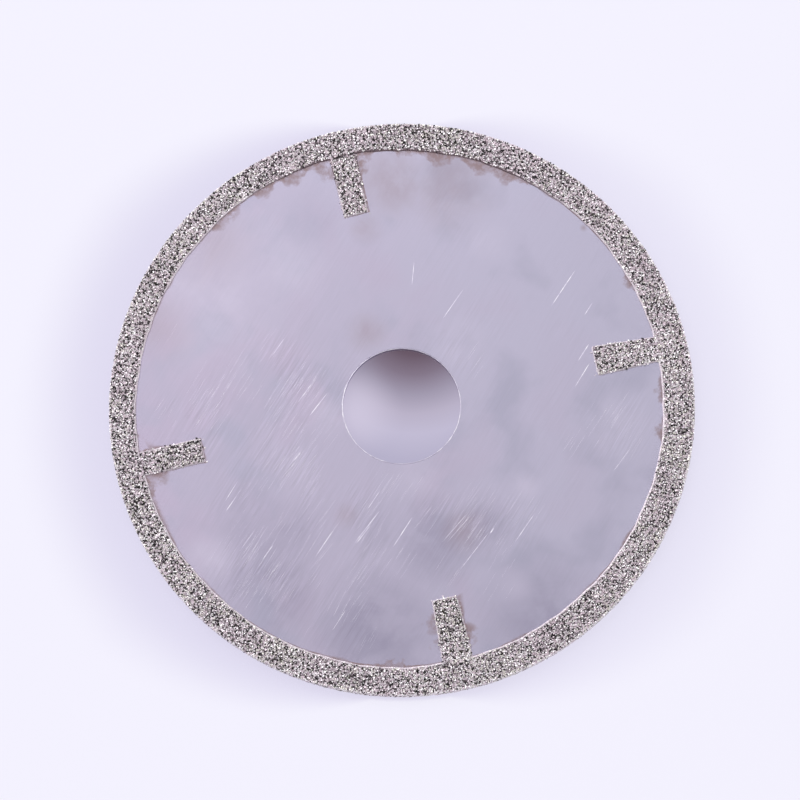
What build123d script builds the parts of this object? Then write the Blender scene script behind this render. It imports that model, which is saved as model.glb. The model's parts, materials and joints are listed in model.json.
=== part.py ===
from build123d import *
from build123d.topology import SkipClean
import os

# Diamond saw blade with a plated rim, lying flat. All sizes are in millimetres.
# Z = 0 is the surface that it lies on, +Z is its axis, and its guard strips start on +X.

# Steel blank
outer_diameter = 100.0        # over the grit on the rim
bore_diameter = 20.0          # seat for the saw's arbor
blank_thickness = 1.2         # bare steel between the flanges
bore_chamfer = 0.15           # edge break at both ends of the bore

# Diamond deposit, measured to the tips of the grit
face_build = 0.4              # height over the steel on each face
rim_build = 0.4               # depth outside the blank's own edge
band_width = 5.0              # from the rim inwards, on each face
strip_count = 4               # guard strips on each face
strip_length = 11.0           # from the band's inner edge towards the bore
strip_width = 4.6
strip_corner_radius = 0.5     # outline corners at a strip's inner end
strip_root_radius = 0.4       # outline corners where a strip leaves the band
mask_edge_bevel = 0.2         # slope of the deposit along its masked edge
rim_edge_bevel = 0.3          # slope of the deposit over the edge of the rim

# Radii and heights that follow from them
outer_radius = outer_diameter / 2
bore_radius = bore_diameter / 2
blank_radius = outer_radius - rim_build
band_inner_radius = outer_radius - band_width
strip_end_radius = band_inner_radius - strip_length
blank_bottom = face_build
blank_top = blank_bottom + blank_thickness
blade_thickness = blank_top + face_build

point_tolerance = 0.001       # how near a corner or circle counts as the one that is meant


def circles_of_radius(shape, radius):
    """The circular edges of a shape that have this radius."""
    circles = shape.edges().filter_by(GeomType.CIRCLE)
    return circles.filter_by(lambda edge: abs(edge.radius - radius) < point_tolerance)


def strip_outline():
    """One guard strip along +X, from its inner end to the middle of the band's width."""
    band_middle = (band_inner_radius + blank_radius) / 2
    length = band_middle - strip_end_radius
    outline = Pos(strip_end_radius + length / 2, 0) * Rectangle(length, strip_width)
    inner_corners = outline.vertices().group_by(Axis.X)[0]
    return fillet(inner_corners, strip_corner_radius)


def deposit_outline():
    """The plated area of a face: the band and its strips as one closed outline."""
    outline = Circle(outer_radius) - Circle(band_inner_radius)
    outline += PolarLocations(0, strip_count) * strip_outline()
    roots = outline.vertices().filter_by(
        lambda corner: abs(Vector(corner).length - band_inner_radius) < point_tolerance
    )
    return fillet(roots, strip_root_radius)


def steel_blank(plated):
    """The punched steel disc with its bore. Bare and plated steel are faces of their own,
    split along the deposit's outline, so the flanges' seat ends where the grit starts."""
    disc = Circle(blank_radius) - Circle(bore_radius)
    bare = extrude(disc - plated, blank_thickness)
    bare = chamfer(circles_of_radius(bare, bore_radius), bore_chamfer)
    covered = extrude(disc & plated, blank_thickness)
    with SkipClean():
        blank = bare.fuse(covered)
    return Pos(0, 0, blank_bottom) * blank.solid()


def diamond_plating(plated):
    """One nickel and diamond layer: a band and strips on both faces, joined round the rim.
    Its section is square first, then bevelled where the grit thins out, at rim and mask."""
    layer = extrude(plated, blade_thickness)
    layer -= Pos(0, 0, blank_bottom) * extrude(Circle(blank_radius), blank_thickness)
    layer = chamfer(circles_of_radius(layer, outer_radius), rim_edge_bevel)
    lower_face, *_, upper_face = layer.faces().sort_by(Axis.Z)
    masked_edges = lower_face.inner_wires().edges() + upper_face.inner_wires().edges()
    return chamfer(masked_edges, mask_edge_bevel).solid()


plated_area = deposit_outline()
nodes = {
    "steel_blank": steel_blank(plated_area),
    "diamond_plating": diamond_plating(plated_area),
}

os.makedirs("parts", exist_ok=True)
for name, shape in nodes.items():
    export_step(shape, f"parts/{name}.step")
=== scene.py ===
"""Looks, light and camera of a plated diamond saw blade, built around its packed construction model.

Lengths are millimetres, unless a field says metres, and become metres where a mesh or the camera is made.
"""
import json
import logging
import math
from dataclasses import dataclass, field
from enum import Enum
from functools import cached_property

import bpy
import numpy as np
from mathutils import Matrix, Vector


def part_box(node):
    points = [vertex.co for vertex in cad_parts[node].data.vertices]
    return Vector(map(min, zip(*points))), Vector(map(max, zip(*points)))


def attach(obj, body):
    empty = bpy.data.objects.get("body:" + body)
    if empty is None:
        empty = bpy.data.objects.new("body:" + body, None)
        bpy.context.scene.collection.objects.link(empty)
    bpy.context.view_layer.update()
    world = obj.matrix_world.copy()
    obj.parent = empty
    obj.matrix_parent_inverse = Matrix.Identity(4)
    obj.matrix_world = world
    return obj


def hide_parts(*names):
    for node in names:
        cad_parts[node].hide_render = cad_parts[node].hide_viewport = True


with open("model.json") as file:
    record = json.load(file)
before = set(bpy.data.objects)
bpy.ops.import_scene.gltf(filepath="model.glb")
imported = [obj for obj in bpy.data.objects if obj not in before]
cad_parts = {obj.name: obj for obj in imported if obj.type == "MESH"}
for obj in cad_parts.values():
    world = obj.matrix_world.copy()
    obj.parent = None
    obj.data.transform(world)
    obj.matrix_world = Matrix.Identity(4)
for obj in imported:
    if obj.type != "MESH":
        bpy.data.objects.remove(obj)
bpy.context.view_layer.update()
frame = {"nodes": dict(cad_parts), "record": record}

MM = 0.001
BODY = "root"
PHOTO_PIXELS = 800
log = logging.getLogger("saw_blade")


class Side(Enum):
    """The two faces of the blade, with the direction in which each one looks."""

    UPPER = 1
    LOWER = -1


class Slot(Enum):
    """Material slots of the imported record."""

    STEEL = "ground_steel"
    GRIT = "diamond_grit"


class Tone(Enum):
    """Mesh attributes that a finish reads."""

    SHADE = "grain_shade"
    TINT = "grain_tint"
    PITTED = "pitted"


# Meshes

@dataclass
class Surface:
    """Points and equal-sized faces of a piece, before it becomes a mesh.

    Attributes:
        points: One row of x, y, z for each point, in millimetres.
        faces: One row of point numbers for each face.
        tones: Values for each point, by the attribute that holds them.
    """

    points: np.ndarray
    faces: np.ndarray
    tones: dict[Tone, np.ndarray] = field(default_factory=dict)

    def outward(self) -> "Surface":
        """Turn all faces over if the closed surface encloses a negative volume.

        The volume is the sum, over a fan of triangles in each face, of a sixth of the triple product
        of the triangle's corners.

        Returns:
            This surface, with its faces pointing outwards.
        """
        corners = self.points[self.faces]
        first = corners[:, 0]
        volume = sum(
            np.einsum("ij,ij->i", first, np.cross(corners[:, k], corners[:, k + 1])).sum()
            for k in range(1, self.faces.shape[1] - 1)
        )
        if volume < 0:
            self.faces = self.faces[:, ::-1]
        return self

    @staticmethod
    def joined(parts: list["Surface"]) -> "Surface":
        """Put several surfaces with the same kind of face into one.

        Args:
            parts: The surfaces, which all have the same tones.

        Returns:
            One surface that holds every point and face.
        """
        starts = np.cumsum([0] + [len(part.points) for part in parts[:-1]])
        return Surface(
            np.vstack([part.points for part in parts]),
            np.vstack([part.faces + start for part, start in zip(parts, starts)]),
            {tone: np.concatenate([part.tones[tone] for part in parts]) for tone in parts[0].tones},
        )

    def to_object(self, name: str, material: bpy.types.Material, slot: Slot,
                  smooth: bool) -> bpy.types.Object:
        """Make a Blender object that rides on the blade.

        Args:
            name: The piece's name.
            material: Its only material.
            slot: The record's slot that its finish belongs to. It is not used.
            smooth: Whether its faces are shaded as one curved surface.

        Returns:
            The object, at the origin, with its place in its mesh.
        """
        count, size = self.faces.shape
        mesh = bpy.data.meshes.new(name)
        mesh.vertices.add(len(self.points))
        mesh.vertices.foreach_set("co", (self.points * MM).astype(np.float32).ravel())
        mesh.loops.add(count * size)
        mesh.loops.foreach_set("vertex_index", self.faces.astype(np.int32).ravel())
        mesh.polygons.add(count)
        mesh.polygons.foreach_set("loop_start", np.arange(0, count * size, size, dtype=np.int32))
        mesh.polygons.foreach_set("use_smooth", np.full(count, smooth))
        for tone, values in self.tones.items():
            attribute = mesh.attributes.new(tone.value, "FLOAT", "POINT")
            attribute.data.foreach_set("value", values.astype(np.float32))
        mesh.materials.append(material)
        mesh.update(calc_edges=True)
        mesh.validate()
        piece = bpy.data.objects.new(name, mesh)
        bpy.context.scene.collection.objects.link(piece)
        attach(piece, BODY)
        log.info("%s: %d points, %d faces", name, len(self.points), count)
        return piece


def grid_faces(count: int, columns: int, wrapped: bool) -> np.ndarray:
    """Number the four-sided faces of a grid of points that is stored row by row.

    Args:
        count: Number of its rows.
        columns: Number of points in a row.
        wrapped: Whether the last row and column join the first ones, as on a torus.

    Returns:
        One row of four point numbers for each face.
    """
    number = np.arange(count * columns).reshape(count, columns)
    if wrapped:
        number = np.pad(number, ((0, 1), (0, 1)), mode="wrap")
    corners = (number[:-1, :-1], number[1:, :-1], number[1:, 1:], number[:-1, 1:])
    return np.stack([corner.ravel() for corner in corners], axis=1)


def full_turn(count: int) -> np.ndarray:
    """Directions spaced evenly round a full turn, in radians."""
    return np.linspace(0, 2 * math.pi, count, endpoint=False)


def rows(x: np.ndarray, y: np.ndarray, z: np.ndarray) -> np.ndarray:
    """Coordinates put together: one row of x, y, z for each point, in the order of the largest grid."""
    return np.stack(np.broadcast_arrays(x, y, z), axis=-1).reshape(-1, 3)


def around(angle: np.ndarray, radius: np.ndarray | float, height: np.ndarray | float) -> np.ndarray:
    """Points round the Z axis: x and y are the radius times the cosine and the sine of the angle.

    Args:
        angle: Direction of each point from the axis, in radians.
        radius: Distance of each point from it.
        height: Height of each point over the resting plane.

    Returns:
        One row of x, y, z for each point.
    """
    return rows(radius * np.cos(angle), radius * np.sin(angle), height)


def ripples(rng: np.random.Generator, shape: tuple[int, int], passes: int) -> np.ndarray:
    """Soft random waves on a grid: random heights, averaged with their neighbours again and again.

    Args:
        rng: Source of the heights.
        shape: Rows and columns of the grid, which wraps round both ways.
        passes: How often the heights are averaged; more passes give longer waves.

    Returns:
        Heights with a mean of 0 and a spread of 1.
    """
    height = rng.normal(size=shape)
    for _ in range(passes):
        for axis in (0, 1):
            height = (np.roll(height, 1, axis) + 2 * height + np.roll(height, -1, axis)) / 4
    return (height - height.mean()) / height.std()


# The blade's sizes

@dataclass(frozen=True)
class Strip:
    """A guard strip as its hand-cut mask left it.

    Attributes:
        angle: Direction of its middle line from the axis, in degrees from +X.
        end_radius: Distance of its inner end from the axis.
        end_width: Width at the inner end.
        band_width: Width where it meets the band.
        lean: Turn of its middle line from straight outwards, in degrees.
    """

    angle: float
    end_radius: float
    end_width: float
    band_width: float
    lean: float


@dataclass
class Blade:
    """Sizes that the pieces share. The main ones come from the construction model.

    Attributes:
        band_inner_radius: Mean radius of the band's masked edge.
        band_centre: Centre of the masked edge's circle, which lies a little off the axis.
        edge_waves: Slow waves in the masked edge: how many go round, their size, and a crest's direction
            in degrees from +X.
        upper_strips: The strips that can be seen.
        lower_strips: The strips on the face that the blade lies on.
    """

    band_inner_radius: float = 44.97
    band_centre: tuple[float, float] = (-0.32, 0.20)
    edge_waves: tuple[tuple[int, float, float], ...] = (
        (2, 0.10, 80.0), (5, 0.06, -39.0), (13, 0.06, -50.0), (31, 0.05, -54.0), (71, 0.04, -56.0),
    )
    upper_strips: tuple[Strip, ...] = (
        Strip(0.2, 33.8, 5.3, 4.4, -1.8),
        Strip(90.4, 34.6, 4.3, 4.7, -0.2),
        Strip(180.0, 34.6, 4.4, 4.2, 0.5),
        Strip(269.6, 34.0, 4.4, 5.3, -0.3),
    )
    lower_strips: tuple[Strip, ...] = (
        Strip(-0.3, 34.2, 4.6, 4.8, 0.7),
        Strip(89.8, 33.9, 4.9, 4.5, -0.9),
        Strip(180.4, 34.1, 4.4, 4.7, 0.2),
        Strip(270.2, 34.3, 4.5, 4.6, 1.1),
    )

    def __post_init__(self) -> None:
        """Read the radii and heights of the two solids from the frame."""
        steel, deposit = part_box("steel_blank"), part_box("diamond_plating")
        bore = next(mount for mount in frame["record"]["mounts"] if mount["name"] == "bore")
        self.bore_radius = bore["dims"]["r_mm"]
        self.blank_radius = steel[1].x / MM
        self.blank_bottom = steel[0].z / MM
        self.blank_top = steel[1].z / MM
        self.outer_radius = deposit[1].x / MM
        self.thickness = deposit[1].z / MM

    def strips(self, side: Side) -> tuple[Strip, ...]:
        """The strips of one face."""
        return self.upper_strips if side is Side.UPPER else self.lower_strips

    def level(self, height: np.ndarray, side: Side) -> np.ndarray:
        """Heights on the upper face, or the same ones mirrored onto the lower face."""
        return height if side is Side.UPPER else self.thickness - height

    def masked_radius(self, angle: np.ndarray) -> np.ndarray:
        """Radius of the band's inner edge: a circle set off centre, with a slow waver.

        Args:
            angle: Directions from the axis, in radians.

        Returns:
            The edge's distance from the axis in each direction.
        """
        waver = sum(
            size * np.cos(order * (angle - math.radians(crest))) for order, size, crest in self.edge_waves
        )
        x, y = self.band_centre
        return self.band_inner_radius + x * np.cos(angle) + y * np.sin(angle) + waver


# Finishes

Colour = tuple[float, float, float]
Point = tuple[float, float, float]
Pair = tuple[float, float]
Stops = tuple[tuple[float, Colour], ...]
Socket = bpy.types.NodeSocket
Value = float | Socket
Inputs = dict[int | str, Value | Point]


def linear(red: int, green: int, blue: int) -> Colour:
    """Turn an sRGB colour into a linear one.

    Args:
        red: Its red, in steps of 0 to 255.
        green: Its green.
        blue: Its blue.

    Returns:
        The linear colour, with parts from 0 to 1.
    """
    values = np.array([red, green, blue]) / 255
    straight = np.where(values <= 0.04045, values / 12.92, ((values + 0.055) / 1.055) ** 2.4)
    return tuple(float(value) for value in straight)


@dataclass(frozen=True)
class Cloud:
    """Random clouds in a finish: a noise, of which a middle range is spread over new values.

    Attributes:
        scale: Waves per millimetre.
        detail: How many finer waves are added.
        roughness: How strong those are.
        distortion: How far the waves are bent.
        span: The noise at which the first value ends and the last one begins.
        values: The first and the last value.
    """

    scale: float
    detail: float = 2.0
    roughness: float = 0.5
    distortion: float = 0.0
    span: Pair = (0.0, 1.0)
    values: Pair = (0.0, 1.0)


@dataclass(frozen=True)
class Patch:
    """A place where a surface differs in colour, fading out from its middle.

    Attributes:
        x: Middle of the patch.
        y: Middle of the patch.
        reach: Distance from the middle at which it has faded out.
        strength: How strong it is in the middle, up to 1.
    """

    x: float
    y: float
    reach: float
    strength: float


class NodeSheet:
    """Adds shader nodes to a node tree and links them."""

    def __init__(self, tree: bpy.types.NodeTree) -> None:
        """Start on an emptied tree."""
        tree.nodes.clear()
        self.tree = tree

    @cached_property
    def place(self) -> Socket:
        """Object coordinates, in millimetres from the bore's axis on the resting plane."""
        metres = self.add("TexCoord").outputs["Object"]
        return self.add("VectorMath", {0: metres, "Scale": 1 / MM}, operation="SCALE").outputs[0]

    def add(self, kind: str, inputs: Inputs | None = None, **settings: str) -> bpy.types.Node:
        """Add a node.

        Args:
            kind: The node's type name, without its ShaderNode prefix.
            inputs: Values or output sockets, by input name or number.
            **settings: Properties of the node itself.

        Returns:
            The new node.
        """
        node = self.tree.nodes.new("ShaderNode" + kind)
        for name, value in settings.items():
            setattr(node, name, value)
        for name, value in (inputs or {}).items():
            entry = node.inputs[name]
            if isinstance(value, Socket):
                self.tree.links.new(value, entry)
            else:
                entry.default_value = (*value, 1.0) if entry.type == "RGBA" else value
        return node

    def calc(self, operation: str, *values: Value) -> Socket:
        """A Math node's result, from numbers or sockets."""
        return self.add("Math", dict(enumerate(values)), operation=operation).outputs[0]

    def coordinate(self, axis: int) -> Socket:
        """A point's x, y or z, by the axis's number."""
        return self.add("SeparateXYZ", {0: self.place}).outputs[axis]

    def distance(self, x: float, y: float, z: float) -> Socket:
        """How far a point lies from a centre."""
        vectors = {0: self.place, 1: (x, y, z)}
        return self.add("VectorMath", vectors, operation="DISTANCE").outputs["Value"]

    def ahead(self, direction: Point) -> Socket:
        """How far a point lies in a direction from the axis: the dot product of the two."""
        vectors = {0: self.place, 1: direction}
        return self.add("VectorMath", vectors, operation="DOT_PRODUCT").outputs["Value"]

    def tone(self, tone: Tone) -> Socket:
        """A mesh attribute's value at a point."""
        return self.add("Attribute", attribute_name=tone.value).outputs["Fac"]

    def remap(self, value: Value, span: Pair, values: Pair = (0.0, 1.0)) -> Socket:
        """Carry a value smoothly from one range to another, and hold it at the ends.

        Args:
            value: The value.
            span: Where the first new value ends, and where the last one begins.
            values: The first and the last new value.

        Returns:
            The new value.
        """
        ends = {1: span[0], 2: span[1], 3: values[0], 4: values[1]}
        return self.add("MapRange", {0: value, **ends}, interpolation_type="SMOOTHSTEP").outputs[0]

    def blend(self, factor: Socket, first: Colour | Socket, second: Colour | Socket) -> Socket:
        """A mix of two colours."""
        return self.add("Mix", {0: factor, 6: first, 7: second}, data_type="RGBA").outputs[2]

    def ramp(self, factor: Socket, stops: Stops) -> Socket:
        """Pick a colour along a row of stops.

        Args:
            factor: The place in the row, from 0 to 1.
            stops: The stops, each a place in the row and the colour there.

        Returns:
            The colour.
        """
        node = self.add("ValToRGB", {0: factor})
        elements = node.color_ramp.elements
        while len(elements) < len(stops):
            elements.new(0.5)
        for element, (start, colour) in zip(elements, stops):
            element.position = start
            element.color = (*colour, 1.0)
        return node.outputs[0]

    def noise(self, cloud: Cloud, points: Socket | None = None) -> Socket:
        """The plain noise of some clouds, which is mostly near 0.5.

        Args:
            cloud: The clouds.
            points: The points to read it at, where they aren't the surface's own.

        Returns:
            The noise.
        """
        return self.add("TexNoise", {
            "Vector": self.place if points is None else points, "Scale": cloud.scale,
            "Detail": cloud.detail, "Roughness": cloud.roughness, "Distortion": cloud.distortion,
        }).outputs[0]

    def clouds(self, cloud: Cloud) -> Socket:
        """The values of some clouds at a point."""
        return self.remap(self.noise(cloud), cloud.span, cloud.values)

    def patches(self, places: tuple[Patch, ...], level: float) -> Socket:
        """The strongest of several patches at a point.

        Args:
            places: The patches.
            level: Height of the face that they are on.

        Returns:
            A factor from 0 to 1.
        """
        total = 0.0
        for patch in places:
            away = self.distance(patch.x, patch.y, level)
            strength = self.remap(away, (patch.reach, 0.0), (0.0, patch.strength))
            total = self.calc("MAXIMUM", total, strength)
        return total

    def bump(self, height: Socket, strength: float, depth: float) -> Socket:
        """A normal for a relief whose height goes from 0 to 1 over a depth in millimetres."""
        return self.add("Bump", {"Strength": strength, "Distance": depth * MM, "Height": height}).outputs[0]

    def coat(self, inputs: Inputs) -> None:
        """End a material in one surface shader with these inputs."""
        self.add("OutputMaterial", {0: self.add("BsdfPrincipled", inputs).outputs[0]})


def new_material(name: str) -> tuple[bpy.types.Material, NodeSheet]:
    """Start a material.

    Args:
        name: Its name.

    Returns:
        The empty material, and the sheet of its nodes.
    """
    material = bpy.data.materials.new(name)
    material.use_nodes = True
    return material, NodeSheet(material.node_tree)


# Places worn by handling, where the grinding's lines and the fine scratches show.
WORN_PLACES = (
    Patch(-34.0, 6.0, 12.0, 0.8), Patch(-16.0, 8.0, 15.0, 0.7), Patch(-22.0, -9.0, 18.0, 0.8),
    Patch(-10.0, -19.0, 14.0, 1.0), Patch(4.0, -22.0, 11.0, 0.7), Patch(-29.0, -24.0, 13.0, 1.0),
    Patch(-18.0, -34.0, 9.0, 0.7), Patch(13.0, -23.0, 8.0, 0.5), Patch(12.5, 9.0, 8.0, 0.6),
    Patch(35.0, -11.0, 9.0, 0.6),
)


@dataclass(frozen=True)
class Strokes:
    """One layer of the grinding's lines.

    Attributes:
        angle: Direction of the lines, in degrees from +X.
        along: Waves per millimetre along a line.
        across: Waves per millimetre across the lines.
        waves: The noise that makes them, over points stretched by the two.
        share: The layer's part in the whole.
    """

    angle: float
    along: float
    across: float
    waves: Cloud
    share: float

    def value(self, sheet: NodeSheet) -> Socket:
        """The layer's noise: the points are turned about Z, stretched along and across, and looked up.

        Args:
            sheet: The material's nodes.

        Returns:
            A value around 0.5.
        """
        mapping = {"Vector": sheet.place, "Rotation": (0.0, 0.0, -math.radians(self.angle))}
        turned = sheet.add("Mapping", mapping).outputs[0]
        mapping = {"Vector": turned, "Scale": (self.along, self.across, self.along)}
        return sheet.noise(self.waves, sheet.add("Mapping", mapping).outputs[0])


@dataclass(frozen=True)
class GroundSteel:
    """Bare steel, ground in straight strokes, with tarnish close to the deposit.

    Attributes:
        blade: The blade's sizes.
        plain: Main colour towards -X.
        cool: Main colour towards +X, where it mirrors the paler side of the room.
        colour_span: Places along X at which the second ends and the first begins.
        rose: Colour of the faint pink clouds.
        rose_clouds: Those clouds.
        rose_far_side: How strong they are towards +X, as a share.
        slate: Colour of the faint grey-blue clouds.
        slate_clouds: Those clouds.
        stain: Brown-grey of the tarnish.
        shadow: Colour of the broad places of painted shade.
        sheen: Colour of the broad paler places: a painted sheen, and in part the look of worn places.
        falloff: Shade towards +Y.
        falloff_span: Places along Y at which it sets in and at which it is full.
        ragged: Clouds that break up the broad places and the smudges.
        metallic: How much of a metal it is, from 0 to 1.
        roughness: Mean roughness.
        tarnish_roughness: What full tarnish adds to the roughness.
        strokes: The layers of grinding lines.
        stroke_depth: Strength of the lines on plain steel, and what a fully worn place adds to it.
        stroke_clouds: Clouds in which the lines come and go.
        line_span: Values that count as the bottom of a line and as the ridge beside it.
        line_shade: Shades of the two.
        line_roughness: By how much the roughness of each differs from the mean.
        line_depth: Depth of the lines.
        line_relief: Strength of their relief.
        thin_foot_line: Width of the thin brown line along the foot of the whole deposit.
        wide_tarnish: Width of the tarnish in its patches.
        tarnish_fade: Distance, as a share of the width, at which the tarnish has faded out.
        speckle: Fine clouds that break up the tarnish.
        stains: Ragged patches of tarnish, where rinse water and plating salts dried.
        smudges: Faint brown smudges, most of them away from the deposit.
        painted_shade_places: Broad places of painted shade.
        worn_and_sheen_places: Broad paler places: painted sheen, and in part places worn by handling.
    """

    blade: Blade
    plain: Colour = linear(184, 176, 198)
    cool: Colour = linear(189, 184, 206)
    colour_span: Pair = (35.0, -35.0)
    rose: Colour = linear(187, 175, 198)
    rose_clouds: Cloud = Cloud(0.055, 3.0, 0.55, 0.3, (0.46, 0.70))
    rose_far_side: float = 0.2
    slate: Colour = linear(176, 172, 194)
    slate_clouds: Cloud = Cloud(0.085, 3.0, 0.5, 0.2, (0.50, 0.74))
    stain: Colour = linear(148, 129, 134)
    shadow: Colour = linear(158, 152, 175)
    sheen: Colour = linear(205, 197, 218)
    falloff: float = 0.93
    falloff_span: Pair = (-30.0, 40.0)
    ragged: Cloud = Cloud(0.12, 4.0, 0.6, 0.4, (0.34, 0.60), (0.45, 1.0))
    metallic: float = 0.9
    roughness: float = 0.36
    tarnish_roughness: float = 0.15
    strokes: tuple[Strokes, ...] = (
        Strokes(46.0, 0.17, 4.2, Cloud(1.0, 2.0, 0.7), 0.75),
        Strokes(48.0, 0.14, 1.7, Cloud(1.0, 2.0, 0.6), 0.25),
    )
    stroke_depth: Pair = (0.12, 0.8)
    stroke_clouds: Cloud = Cloud(0.11, 3.0, span=(0.40, 0.60), values=(0.3, 1.0))
    line_span: Pair = (0.36, 0.64)
    line_shade: Pair = (0.86, 1.12)
    line_roughness: float = 0.05
    line_depth: float = 0.004
    line_relief: float = 0.3
    thin_foot_line: Cloud = Cloud(0.11, 3.0, span=(0.46, 0.72), values=(0.03, 0.9))
    wide_tarnish: Cloud = Cloud(0.26, 5.0, 0.65, 0.3, (0.36, 0.64), (0.4, 6.5))
    tarnish_fade: float = 1.15
    speckle: Cloud = Cloud(0.9, 3.0, 0.6, span=(0.34, 0.60), values=(0.55, 1.0))
    stains: tuple[Patch, ...] = (
        Patch(-9.0, 44.0, 4.5, 1.0), Patch(-4.5, 43.0, 3.2, 0.8), Patch(-15.0, 42.0, 4.0, 0.5),
        Patch(-22.0, 38.5, 5.0, 0.5), Patch(3.2, 43.0, 3.0, 0.6), Patch(10.5, 43.0, 3.0, 0.6),
        Patch(16.0, 41.5, 5.0, 1.0), Patch(22.0, 38.5, 5.0, 0.9), Patch(27.0, 35.5, 5.0, 0.8),
        Patch(-43.5, -3.8, 3.4, 1.0), Patch(-44.0, 3.5, 3.0, 0.3), Patch(-4.0, -38.0, 3.5, 0.6),
        Patch(-4.0, -42.0, 3.0, 0.6), Patch(3.0, -41.0, 3.0, 0.7), Patch(-11.0, -43.0, 4.0, 0.7),
        Patch(43.5, -7.0, 4.0, 0.5), Patch(41.5, -13.5, 3.0, 0.5), Patch(42.5, 12.5, 2.5, 0.5),
    )
    smudges: tuple[Patch, ...] = (
        Patch(-3.0, 14.0, 5.0, 0.35), Patch(1.0, 32.0, 4.0, 0.35), Patch(5.5, -23.5, 5.5, 0.35),
        Patch(-13.5, -16.5, 3.0, 0.3), Patch(7.0, 39.0, 9.0, 0.45), Patch(17.0, 36.0, 11.0, 0.40),
        Patch(-26.0, 35.0, 11.0, 0.25), Patch(-38.0, 23.0, 10.0, 0.25), Patch(37.3, 23.6, 0.9, 0.6),
    )
    painted_shade_places: tuple[Patch, ...] = (
        Patch(-13.0, -37.0, 15.0, 1.0), Patch(15.0, -40.0, 14.0, 0.8), Patch(8.0, -24.0, 8.0, 0.7),
        Patch(-26.0, -16.0, 14.0, 0.5), Patch(-29.0, -27.0, 12.0, 0.8), Patch(-8.0, -20.0, 9.0, 0.35),
        Patch(0.0, -24.0, 12.0, 0.7), Patch(-8.0, 36.0, 7.0, 0.3),
    )
    worn_and_sheen_places: tuple[Patch, ...] = (
        Patch(-27.0, 28.0, 22.0, 0.55), Patch(-14.0, 28.0, 10.0, 0.45), Patch(12.0, 9.0, 6.0, 0.4),
        Patch(-21.0, -9.0, 8.0, 0.35), Patch(35.0, -11.0, 9.0, 0.3), Patch(0.0, -12.5, 6.0, 0.4),
        Patch(-12.5, 1.0, 5.0, 0.4), Patch(-37.5, -18.5, 6.0, 0.6), Patch(17.5, -18.3, 3.5, 0.6),
        Patch(21.0, 25.0, 5.0, 0.4), Patch(12.0, -35.0, 4.0, 0.5),
    )

    def deposit_gap(self, sheet: NodeSheet) -> Socket:
        """Distance of a point on the steel from the nearest masked edge.

        The band is met at its inner radius less the point's distance from the band's centre. A strip, seen
        after folding the four quarters onto one, is met across its side or its end, whichever is further.
        The narrowest strip's width and the shortest one's end stand for all four, so that the tarnish
        reaches under the nickel and never stops short of it.

        Args:
            sheet: The material's nodes.

        Returns:
            The distance.
        """
        folded = [sheet.calc("ABSOLUTE", sheet.coordinate(axis)) for axis in (0, 1)]
        half_width = min(strip.end_width for strip in self.blade.upper_strips) / 2
        end_radius = max(strip.end_radius for strip in self.blade.upper_strips)
        side_gap = sheet.calc("SUBTRACT", sheet.calc("MINIMUM", *folded), half_width)
        end_gap = sheet.calc("SUBTRACT", end_radius, sheet.calc("MAXIMUM", *folded))
        away = sheet.distance(*self.blade.band_centre, self.blade.blank_top)
        band_gap = sheet.calc("SUBTRACT", self.blade.band_inner_radius, away)
        return sheet.calc("MINIMUM", band_gap, sheet.calc("MAXIMUM", side_gap, end_gap))

    def tarnish(self, sheet: NodeSheet) -> Socket:
        """How brown a point is: it fades with the distance from the deposit, over a ragged width.

        The width is thin and cloudy everywhere, and wide within the patches of tarnish.

        Args:
            sheet: The material's nodes.

        Returns:
            A factor from 0 to 1.
        """
        stains = sheet.patches(self.stains, self.blade.blank_top)
        wide = sheet.calc("MULTIPLY", stains, sheet.clouds(self.wide_tarnish))
        # A thin brown line runs along the foot of the whole deposit, and grows wide within the patches of
        # tarnish.
        width = sheet.calc("MAXIMUM", wide, sheet.clouds(self.thin_foot_line))
        gap = sheet.calc("DIVIDE", self.deposit_gap(sheet), width)
        return sheet.calc("MULTIPLY", sheet.remap(gap, (self.tarnish_fade, 0.0)), sheet.clouds(self.speckle))

    def lines(self, sheet: NodeSheet) -> Socket:
        """Fine lines of the grinding, which show in the worn places and hardly anywhere else.

        The layers' noises are added by their shares, and the sum's distance from 0.5 is scaled.

        Args:
            sheet: The material's nodes.

        Returns:
            A value around 0.5, further from it where the lines show.
        """
        total = 0.0
        for layer in self.strokes:
            total = sheet.calc("MULTIPLY_ADD", layer.value(sheet), layer.share, total)
        least, more = self.stroke_depth
        worn = sheet.calc("MULTIPLY_ADD", sheet.patches(WORN_PLACES, self.blade.blank_top), more, least)
        depth = sheet.calc("MULTIPLY", worn, sheet.clouds(self.stroke_clouds))
        return sheet.calc("MULTIPLY_ADD", sheet.calc("SUBTRACT", total, 0.5), depth, 0.5)

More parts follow.
